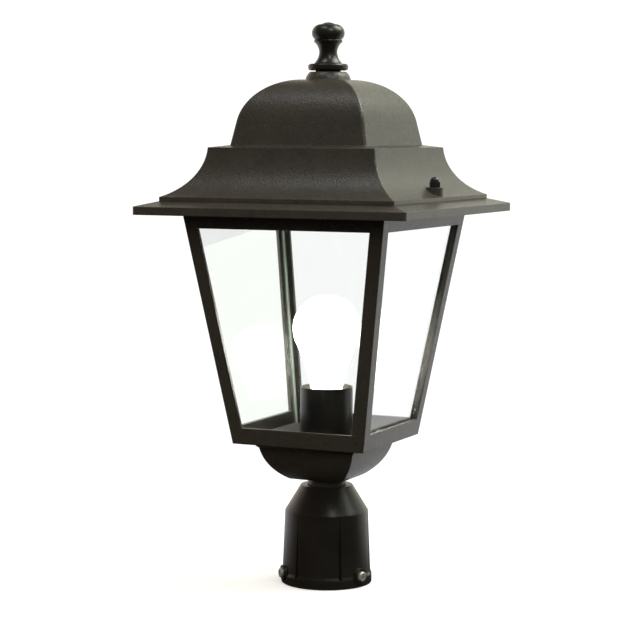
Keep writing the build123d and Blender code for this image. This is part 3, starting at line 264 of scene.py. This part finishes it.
# %% [markdown]
# Every finish on the lantern starts from the same few patterns: soft clouds for paint that varies,
# fine grain for a casting's skin, and small pits. They are set by the size of the real feature in
# millimetres, so a pattern stays true on any piece. Noise seldom leaves the middle of its run, so
# that middle is what gets stretched. Edges on a casting are never knife sharp, so a Bevel node
# rounds the shading where two faces meet.
# %% Patterns that every finish shares
NOISE_LOW, NOISE_HIGH = 0.3, 0.7


class Finish(Graph):
    """A material for one real finish, with its patterns sized in millimetres."""

    def __init__(self, name, **constants):
        self.material = bpy.data.materials.new(name)
        self.material.use_nodes = True
        super().__init__(self.material.node_tree)
        shader = self.tree.nodes.new("ShaderNodeBsdfPrincipled")
        outlet = self.tree.nodes.new("ShaderNodeOutputMaterial")
        self.tree.links.new(shader.outputs[0], outlet.inputs["Surface"])
        self.sockets = shader.inputs
        for socket, constant in constants.items():
            self.sockets[socket.replace("_", " ")].default_value = constant
        self.place = self.node("ShaderNodeTexCoord", output="Object")

    def clouds(self, size, detail=2.0):
        return self.node("ShaderNodeTexNoise", None, {
            "Vector": self.place, "Scale": 1 / (size * MM), "Detail": detail})

    def stretched(self, noise, to_low=0.0, to_high=1.0):
        return self.between(noise, NOISE_LOW, NOISE_HIGH, to_low, to_high)

    def specks(self, size, share, soft):
        """1 inside small round specks and 0 between them."""
        away = self.node("ShaderNodeTexVoronoi", None, {
            "Vector": self.place, "Scale": 1 / (size * MM)})
        return self.between(away, share, share + soft, 1.0, 0.0)

    def feed(self, socket, value):
        self.tree.links.new(value.socket, self.sockets[socket])

    def relief(self, height, depth, rounding=0.0):
        """Dents and bumps of a depth in millimetres, over edges rounded by a radius."""
        below = {}
        if rounding:
            below["Normal"] = self.node("ShaderNodeBevel", {"samples": 4},
                                        {"Radius": rounding * MM})
        self.feed("Normal", self.node("ShaderNodeBump", None, {
            "Height": height, "Distance": depth * MM, "Strength": 1.0, **below}))


def clouded(name, size, detail, dark, bright, smoothest, roughest, depth, rounding=0.0,
            **constants):
    """A finish whose colour, gloss and relief all follow one pattern."""
    finish = Finish(name, **constants)
    cloud = finish.clouds(size, detail)
    finish.feed("Base Color", finish.blend(cloud, dark, bright))
    finish.feed("Roughness", finish.stretched(cloud, smoothest, roughest))
    finish.relief(cloud, depth, rounding)
    return finish


print("patterns are ready")

# %% [markdown]
# The cage, the roof and the bowl are sand castings under satin black paint. The sand leaves a
# grain that the paint softens but doesn't hide, with a few deeper pits, and the brush or spray
# leaves the gloss a little uneven. The paint is a warm black, not a pure one.
# %% Painted castings
cast_paint = Finish("cast_paint", Specular_IOR_Level=0.5)
wide, fine, grain = cast_paint.clouds(26), cast_paint.clouds(5, 4), cast_paint.clouds(1.5, 3)
pits = cast_paint.specks(9, 0.035, 0.05)
cast_paint.feed("Base Color", cast_paint.blend(
    cast_paint.between(wide * 0.3 + fine * 0.2 + grain * 0.5, 0.36, 0.64),
    (0.035, 0.031, 0.026), (0.052, 0.046, 0.038)))
cast_paint.feed("Roughness", cast_paint.stretched(fine, 0.27, 0.37))
cast_paint.relief(fine * 0.25 + grain * 0.6 - pits * 0.9, 0.60, 1.2)
print(cast_paint.material.name, len(cast_paint.tree.nodes), "nodes")

# %% [markdown]
# The fitter, the finial and the cup round the lampholder are smoother: turned or drawn metal under
# the same paint, which only has the slight waviness of a sprayed coat. A glossier black coats the
# cap nuts.
# %% Painted smooth metal
smooth_paint = Finish("smooth_paint", Specular_IOR_Level=0.6)
wide, fine = smooth_paint.clouds(30), smooth_paint.clouds(2.5, 3)
smooth_paint.feed("Base Color", smooth_paint.blend(
    smooth_paint.stretched(wide), (0.010, 0.008, 0.006), (0.016, 0.014, 0.011)))
smooth_paint.feed("Roughness", smooth_paint.stretched(fine, 0.28, 0.38))
smooth_paint.relief(fine, 0.08, 0.5)

gloss_paint = clouded("gloss_paint", 1.2, 2, (0.010, 0.010, 0.010), (0.018, 0.018, 0.018),
                      0.10, 0.18, depth=0.02, rounding=0.3)
print("two smooth paints")

# %% [markdown]
# The screws, studs and nuts are zinc plated. Zinc is a grey metal that scatters light a little, and
# its brightness changes in small patches. Brass and rolled aluminium are the same machine with
# other numbers, so one function makes them all. The plating also has a thin chalky film, so it
# isn't wholly metallic.
# %% Bare metals
def bare_metal(name, dark, bright, smoothest, roughest, patch):
    metal = Finish(name, Metallic=1.0)
    spots, scratches = metal.clouds(patch, 3), metal.clouds(patch * 0.3, 2)
    metal.feed("Base Color", metal.blend(metal.stretched(spots), dark, bright))
    metal.feed("Roughness", metal.stretched(scratches, smoothest, roughest))
    metal.relief(scratches, 0.03, 0.25)
    return metal


zinc = bare_metal("zinc", (0.58, 0.56, 0.51), (0.76, 0.74, 0.69), 0.30, 0.46, 3.0)
zinc.feed("Metallic", zinc.stretched(zinc.clouds(1.5, 2), 0.55, 0.85))
brass = bare_metal("brass", (0.58, 0.40, 0.15), (0.78, 0.58, 0.27), 0.18, 0.34, 4.0)
rolled_sheet = bare_metal("rolled_sheet", (0.60, 0.60, 0.58), (0.76, 0.76, 0.75),
                          0.22, 0.38, 2.5)
solder = bare_metal("solder", (0.42, 0.42, 0.41), (0.60, 0.60, 0.59), 0.30, 0.46, 1.5)
print("zinc, brass, rolled sheet and solder")

# %% [markdown]
# A threaded tube carries the wires through the bowl's neck. At this distance its thread only shows
# as fine level lines, so a wave in the relief stands for it.
# %% Threaded steel
THREAD_PITCH = 0.94         # mm
WAVE_RUN = math.tau / 20    # the length of one band of a Wave node whose scale is 1
threaded = Finish("threaded", Metallic=1.0)
wear = threaded.clouds(3, 3)
turns = threaded.node("ShaderNodeTexWave", {"bands_direction": "Z"}, {
    "Vector": threaded.place, "Scale": WAVE_RUN / (THREAD_PITCH * MM)})
threaded.feed("Base Color", threaded.blend(wear, (0.50, 0.48, 0.44), (0.70, 0.68, 0.63)))
threaded.feed("Roughness", threaded.stretched(wear, 0.25, 0.40))
threaded.relief(turns, 0.35)
print("thread lines on the stem")

# %% [markdown]
# The panes are clear window glass. Light that enters a pane's edge has travelled a long way inside
# it, which is why edges look green. Real glass is never quite flat, so a very shallow wave bends
# what is mirrored in it. The lamp is white frosted glass, lit from inside.
# %% Glass
clear_glass = Finish("clear_glass", IOR=1.5, Transmission_Weight=1.0)
waves = clear_glass.clouds(60, 1)
clear_glass.feed("Base Color", clear_glass.blend(
    waves, (0.980, 0.995, 0.984), (0.986, 0.998, 0.990)))
clear_glass.feed("Roughness", clear_glass.between(waves, 0, 1, 0.0, 0.01))
clear_glass.relief(waves, 0.05)

glass_edge = clouded("glass_edge", 2, 3, (0.26, 0.46, 0.36), (0.40, 0.60, 0.50),
                     0.25, 0.45, depth=0.05, IOR=1.5, Transmission_Weight=0.6)

lit_glass = Finish("lit_glass", Roughness=0.35, Emission_Strength=18.0)
frost = lit_glass.clouds(1.0, 2)
lit_glass.feed("Base Color", lit_glass.blend(frost, (0.86, 0.85, 0.82), (0.92, 0.91, 0.88)))
lit_glass.feed("Emission Color", lit_glass.blend(frost, (1.0, 0.95, 0.86), (1.0, 0.97, 0.90)))
lit_glass.relief(frost, 0.02)
print("panes, pane edges and the lit lamp")

# %% [markdown]
# The last finishes are small ones: white porcelain with a clear glaze, the black glass at the foot
# of the lamp's cap, the grey silicone that seals the corners of the panes, and the black rubber of
# the washer that keeps rain out under the finial.
# %% Porcelain, black glass, silicone and rubber
porcelain = clouded("porcelain", 6, 3, (0.80, 0.78, 0.72), (0.88, 0.86, 0.81), 0.25, 0.35,
                    depth=0.06, rounding=0.4, Coat_Weight=0.6, Coat_Roughness=0.06)
black_glass = clouded("black_glass", 2, 2, (0.012, 0.012, 0.014), (0.024, 0.024, 0.027),
                      0.10, 0.20, depth=0.03)
silicone = clouded("silicone", 5, 3, (0.44, 0.48, 0.44), (0.60, 0.64, 0.60), 0.40, 0.60,
                   depth=0.30, rounding=0.5, IOR=1.41, Transmission_Weight=0.25)
rubber = clouded("rubber", 3, 3, (0.014, 0.014, 0.014), (0.026, 0.026, 0.026), 0.60, 0.80,
                 depth=0.05, rounding=0.3, Specular_IOR_Level=0.35)
print("four small finishes")

# %% [markdown]
# Most of the measured pieces already have the right shape, down to the holes and the rounded hips
# of the roof. They stay, and each only gets its finish.
# %% Finishes on the measured pieces
finished_as = {
    cast_paint: ("bowl", "cage", "roof"),
    smooth_paint: ("post_collar", "finial", "socket_cover"),
    gloss_paint: ("cap_nut_right", "cap_nut_left"),
    zinc: ("set_screw_right", "set_screw_back", "set_screw_left", "stem_locknuts", "stem_washers",
           "glass_clips", "finial_washer", "finial_nut"),
    threaded: ("stem_tube", "roof_studs", "finial_stud"),
    brass: ("screw_shell", "centre_contact"),
    silicone: ("corner_seals",),
    rubber: ("finial_gasket",),
    porcelain: ("lampholder",),
    solder: ("bulb_contact",),
    black_glass: ("bulb_insulator",),
    lit_glass: ("bulb_glass",),
}
for finish, nodes in finished_as.items():
    for node in nodes:
        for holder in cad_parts[node].material_slots:
            holder.material = finish.material
print(sum(len(nodes) for nodes in finished_as.values()), "measured pieces finished")

# %% [markdown]
# Each pane is a copy of the measured one, with its loose triangles joined, because the faces of its
# four edges take the green finish and the two broad faces stay clear.
# %% The panes
SAME_POINT = 0.002 * MM
MOSTLY_FACING = 0.95        # cosine


def joined(node):
    """A measured piece's loose triangles, joined up and ready to be worked on."""
    skin = bmesh.new()
    skin.from_mesh(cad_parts[node].data)
    bmesh.ops.remove_doubles(skin, verts=skin.verts, dist=SAME_POINT)
    return skin


def joined_copy(node, name):
    """A measured piece's own skin, joined up, as a new mesh that may be changed."""
    skin = joined(node)
    copy = bpy.data.meshes.new(name)
    skin.to_mesh(copy)
    skin.free()
    for extra in ("custom_normal", "sharp_edge", "sharp_face"):
        if extra in copy.attributes:
            copy.attributes.remove(copy.attributes[extra])
    return copy


def place_piece(mesh, body, slot, *nodes):
    """Puts a finished mesh in the scene, on its body, in place of the measured pieces."""
    piece = bpy.data.objects.new(mesh.name, mesh)
    bpy.context.collection.objects.link(piece)
    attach(piece, body) or piece
    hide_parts(*nodes)


sides = {"front": (0, -1), "right": (1, 0), "back": (0, 1), "left": (-1, 0)}
for side, across_pane in sides.items():
    pane = joined_copy(f"glass_{side}", f"pane_{side}")
    pane.materials.append(clear_glass.material)
    pane.materials.append(glass_edge.material)
    facing = Vector((*across_pane, 0))
    pane.polygons.foreach_set("use_smooth", [False] * len(pane.polygons))
    for face in pane.polygons:
        face.material_index = 0 if abs(face.normal.dot(facing)) > MOSTLY_FACING else 1
    place_piece(pane, "lantern", "clear_glass", f"glass_{side}")
print("four panes, clear in front and green at their edges")

# %% [markdown]
# Fifteen small screws hold the lantern together, and they differ only in size. A node tree makes
# one, and sets a copy on every point of a small mesh, turned to face the way that the point says.
# The sizes are the tree's inputs, so one tree serves all four kinds. A modifier runs a tree, so the
# class keeps its inputs and the few lines that turn its result into a plain mesh.
# %% Geometry from a node tree
def carried(mesh):
    """An object that holds a mesh while modifiers work on it."""
    carrier = bpy.data.objects.new(mesh.name, mesh)
    bpy.context.collection.objects.link(carrier)
    return carrier


def plain_result(carrier):
    """What an object's modifiers make of it, as a plain mesh. The object goes."""
    ready = carrier.evaluated_get(bpy.context.evaluated_depsgraph_get())
    made = bpy.data.meshes.new_from_object(ready)
    bpy.data.objects.remove(carrier)
    return made


class Tree(Graph):
    """A geometry node tree whose named inputs become a modifier's settings."""

    def __init__(self, name, sizes):
        super().__init__(bpy.data.node_groups.new(name, "GeometryNodeTree"))
        panel = self.tree.interface
        panel.new_socket("Geometry", in_out="INPUT", socket_type="NodeSocketGeometry")
        for size in sizes:
            panel.new_socket(size, in_out="INPUT", socket_type="NodeSocketFloat")
        panel.new_socket("Finish", in_out="INPUT", socket_type="NodeSocketMaterial")
        panel.new_socket("Geometry", in_out="OUTPUT", socket_type="NodeSocketGeometry")
        entry = self.tree.nodes.new("NodeGroupInput")
        self.given = {socket.name: Value(self, socket) for socket in entry.outputs if socket.name}

    def point(self, x, y, z):
        return self.node("ShaderNodeCombineXYZ", None, {0: x, 1: y, 2: z})

    def moved(self, shape, offset):
        return self.node("GeometryNodeTransform", None, {"Geometry": shape, "Translation": offset})

    def finish(self, shape):
        whole = self.node("GeometryNodeRealizeInstances", None, {0: shape})
        painted = self.node("GeometryNodeSetMaterial", None,
                            {"Geometry": whole, "Material": self.given["Finish"]})
        self.node("NodeGroupOutput", None, {0: painted})

    def run(self, mesh, finish, **sizes):
        """The tree's result on a mesh, as a new plain mesh. Sizes are in millimetres."""
        carrier = carried(mesh)
        modifier = carrier.modifiers.new("maker", "NODES")
        modifier.node_group = self.tree
        chosen = {name.replace("_", " "): size * MM for name, size in sizes.items()}
        chosen["Finish"] = finish.material
        for socket in self.tree.interface.items_tree:
            if socket.in_out == "INPUT" and socket.name in chosen:
                modifier[socket.identifier] = chosen[socket.name]
        return plain_result(carrier)


print("trees are ready")

# %% [markdown]
# The head is half of a ball, squashed to the head's height. One wide block cuts its lower half away
# and two thin ones cut the cross. The shank reaches a little way up into the head, so that the two
# join into one closed solid.
# %% A node tree for pan-head screws
CROSS_LENGTH, CROSS_WIDTH = 1.15, 0.2       # both times the head's radius
SHANK_REACH = 0.3                           # times the head's height

screws = Tree("pan_screws", ("Head radius", "Head height", "Shank radius", "Shank length"))
size = screws.given
ball = screws.node("GeometryNodeMeshUVSphere", None, {"Segments": 32, "Rings": 16, "Radius": 1.0})
dome = screws.node("GeometryNodeTransform", None, {
    "Geometry": ball,
    "Scale": screws.point(size["Head radius"], size["Head radius"], size["Head height"])})
wide_cut = screws.node("GeometryNodeMeshCube", None, {
    "Size": screws.point(size["Head radius"] * 3, size["Head radius"] * 3,
                         size["Head height"] * 2)})
below = screws.moved(wide_cut, screws.point(0, 0, 0 - size["Head height"]))
notches = [screws.moved(
    screws.node("GeometryNodeMeshCube", None, {
        "Size": screws.point(size["Head radius"] * x, size["Head radius"] * y,
                             size["Head height"])}),
    screws.point(0, 0, size["Head height"]))
    for x, y in ((CROSS_LENGTH, CROSS_WIDTH), (CROSS_WIDTH, CROSS_LENGTH))]
head = dome
for cut in (below, *notches):
    head = screws.node("GeometryNodeMeshBoolean", {"operation": "DIFFERENCE"},
                       {"Mesh 1": head, "Mesh 2": cut})
shank = screws.moved(
    screws.node("GeometryNodeMeshCylinder", None, {
        "Vertices": 24, "Radius": size["Shank radius"],
        "Depth": size["Shank length"] + size["Head height"] * SHANK_REACH}),
    screws.point(0, 0, (size["Head height"] * SHANK_REACH - size["Shank length"]) * 0.5))
screw = screws.node("GeometryNodeMeshBoolean", {"operation": "UNION"}, {"Mesh 2": head})
screws.tree.links.new(shank.socket, screw.socket.node.inputs["Mesh 2"])
facing = screws.node("GeometryNodeInputNamedAttribute", {"data_type": "FLOAT_VECTOR"},
                     {"Name": "facing"})
turned = screws.node("FunctionNodeAlignRotationToVector", {"axis": "Z"}, {"Vector": facing})
screws.finish(screws.node("GeometryNodeInstanceOnPoints", None, {
    "Points": size["Geometry"], "Instance": screw, "Rotation": turned}))
print(len(screws.tree.nodes), "nodes make a screw")

# %% [markdown]
# The measured screws say where these go. All the screws of a kind are one mesh, so a walk along its
# edges from point to point tells them apart, and the middle of each one's box is its place.
# %% Where the measured screws stand
def islands(node):
    """The boxes of a measured piece's separate parts, in metres."""
    skin = joined(node)
    waiting, found = set(skin.verts), []
    while waiting:
        reached = {waiting.pop()}
        to_visit = list(reached)
        while to_visit:
            for edge in to_visit.pop().link_edges:
                for vertex in edge.verts:
                    if vertex in waiting:
                        waiting.remove(vertex)
                        reached.add(vertex)
                        to_visit.append(vertex)
        spread = [vertex.co for vertex in reached]
        found.append([Vector(min(p[k] for p in spread) for k in range(3)),
                      Vector(max(p[k] for p in spread) for k in range(3))])
    skin.free()
    return sorted(found, key=lambda box: tuple(box[0]))


for kind in ("bowl_screws", "lampholder_screws", "ground_screw", "clip_screws"):
    print(kind, len(islands(kind)))

# %% [markdown]
# Each screw also needs the side that its head faces. The heads of the bowl's and the lampholder's
# screws face upwards, the bonding screw hangs head down in the bowl, and the clip screws face in
# from the leaning walls.
# %% Screws on their points
def shade(mesh, crease):
    """Smooth shading, except over edges that turn by more than an angle in degrees."""
    mesh.polygons.foreach_set("use_smooth", [True] * len(mesh.polygons))
    mesh.set_sharp_from_angle(angle=math.radians(crease))


def screw_set(name, node, slot, finish, facing_of, head_height, sizes):
    """One kind of screw, set at the place of every measured screw of that kind."""
    seats, ways = [], []
    length = (sizes["Shank_length"] + head_height) * MM
    for low, high in islands(node):
        middle = (low + high) / 2
        way = facing_of(middle)
        seats.append(middle + way * (length / 2 - head_height * MM))
        ways.append(way)
    points = bpy.data.meshes.new(name)
    points.from_pydata([tuple(seat) for seat in seats], [], [])
    marks = points.attributes.new("facing", "FLOAT_VECTOR", "POINT")
    marks.data.foreach_set("vector", [c for way in ways for c in way])
    made = screws.run(points, finish, Head_height=head_height, **sizes)
    made.name = name
    shade(made, 35)
    place_piece(made, "lantern", slot, node)
    print(f"{name}: {len(seats)} screws, {len(made.polygons)} faces")


def up(middle):
    return Vector((0, 0, 1))


def down(middle):
    return Vector((0, 0, -1))


CAGE_LEAN = math.radians(8.977)     # how far the measured cage's walls lean out


def inward(middle):
    """Square to the leaning wall that a clip screw stands on."""
    flat = Vector((middle.x, 0, 0)) if abs(middle.x) > abs(middle.y) else Vector((0, middle.y, 0))
    return -flat.normalized() * math.cos(CAGE_LEAN) + Vector((0, 0, math.sin(CAGE_LEAN)))


screw_set("floor_screws", "bowl_screws", "zinc_steel", zinc, up, 2.6,
          {"Head_radius": 4.0, "Shank_radius": 2.08, "Shank_length": 15.0})
screw_set("holder_screws", "lampholder_screws", "zinc_steel", zinc, up, 2.0,
          {"Head_radius": 3.0, "Shank_radius": 1.75, "Shank_length": 12.7})
screw_set("bonding_screw", "ground_screw", "brass", brass, down, 2.4,
          {"Head_radius": 4.2, "Shank_radius": 2.08, "Shank_length": 3.5})
screw_set("pane_screws", "clip_screws", "zinc_steel", zinc, inward, 1.8,
          {"Head_radius": 2.9, "Shank_radius": 1.75, "Shank_length": 3.4})

# %% [markdown]
# The lamp's cap is thin sheet with a round thread rolled into it, so the thread is the wall itself,
# wavy inside and out. It follows a rule: at each height the radius swells and shrinks with the
# turn. So a node tree can bend a flat grid into that screw.
# %% A node tree for a rolled thread
SEAM = 0.01 * MM            # the grid's two long edges meet within this

caps = Tree("rolled_thread", ("Root radius", "Thread depth", "Pitch", "Foot level", "Height",
                              "Foot radius", "Foot rise", "Plain end"))
size = caps.given
sheet = caps.node("GeometryNodeMeshGrid", None, {
    "Size X": 1.0, "Size Y": 1.0, "Vertices X": 65, "Vertices Y": 111})
flat_place = caps.node("GeometryNodeInputPosition")
u, v = (caps.node("ShaderNodeSeparateXYZ", None, {0: flat_place}, k) + 0.5 for k in range(2))
turn = u * math.tau
climb = v * size["Height"]
wave = caps.maths("COSINE", turn - climb / size["Pitch"] * math.tau) * 0.5 + 0.5
from_end = caps.maths("MINIMUM", climb, size["Height"] - climb)
fading = caps.between(from_end, size["Plain end"] * 0.5, size["Plain end"] * 2)
slope = caps.between(climb, 0, size["Foot rise"])
base = size["Foot radius"] + (size["Root radius"] - size["Foot radius"]) * slope
radius = base + size["Thread depth"] * wave * fading
bent = caps.node("GeometryNodeSetPosition", None, {
    "Geometry": sheet,
    "Position": caps.point(radius * caps.maths("COSINE", turn), radius * caps.maths("SINE", turn),
                           climb + size["Foot level"])})
caps.finish(caps.node("GeometryNodeMergeByDistance", None, {
    "Geometry": bent, "Distance": SEAM}))
print(len(caps.tree.nodes), "nodes roll a thread")

# %% [markdown]
# The cap's level and height come from the measured one, and its radii and pitch are those of a
# common lamp. What the tree gives is a skin, so Solidify then gives the sheet its thickness on the
# inner side.
# %% The lamp's rolled cap
SHEET_WALL = 0.5            # mm

cap_low, cap_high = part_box("bulb_cap")
rolled = caps.run(bpy.data.meshes.new("lamp_cap"), rolled_sheet, Root_radius=12.2,
                  Thread_depth=0.8, Pitch=3.6, Foot_level=cap_low.z / MM,
                  Height=(cap_high.z - cap_low.z) / MM, Foot_radius=8.6, Foot_rise=0.6,
                  Plain_end=0.4)

skin = bmesh.new()          # a bent grid may come out with its faces turned inwards
skin.from_mesh(rolled)
if sum(face.normal.xy.dot(face.calc_center_median().xy) for face in skin.faces) < 0:
    bmesh.ops.reverse_faces(skin, faces=skin.faces)
skin.to_mesh(rolled)
skin.free()

carrier = carried(rolled)
wall = carrier.modifiers.new("wall", "SOLIDIFY")
wall.thickness, wall.offset = SHEET_WALL * MM, -1.0
walled = plain_result(carrier)
walled.name = "rolled_cap"
shade(walled, 50)
place_piece(walled, "lamp", "lamp_cap", "bulb_cap")
print(f"rolled cap: {len(walled.polygons)} faces")
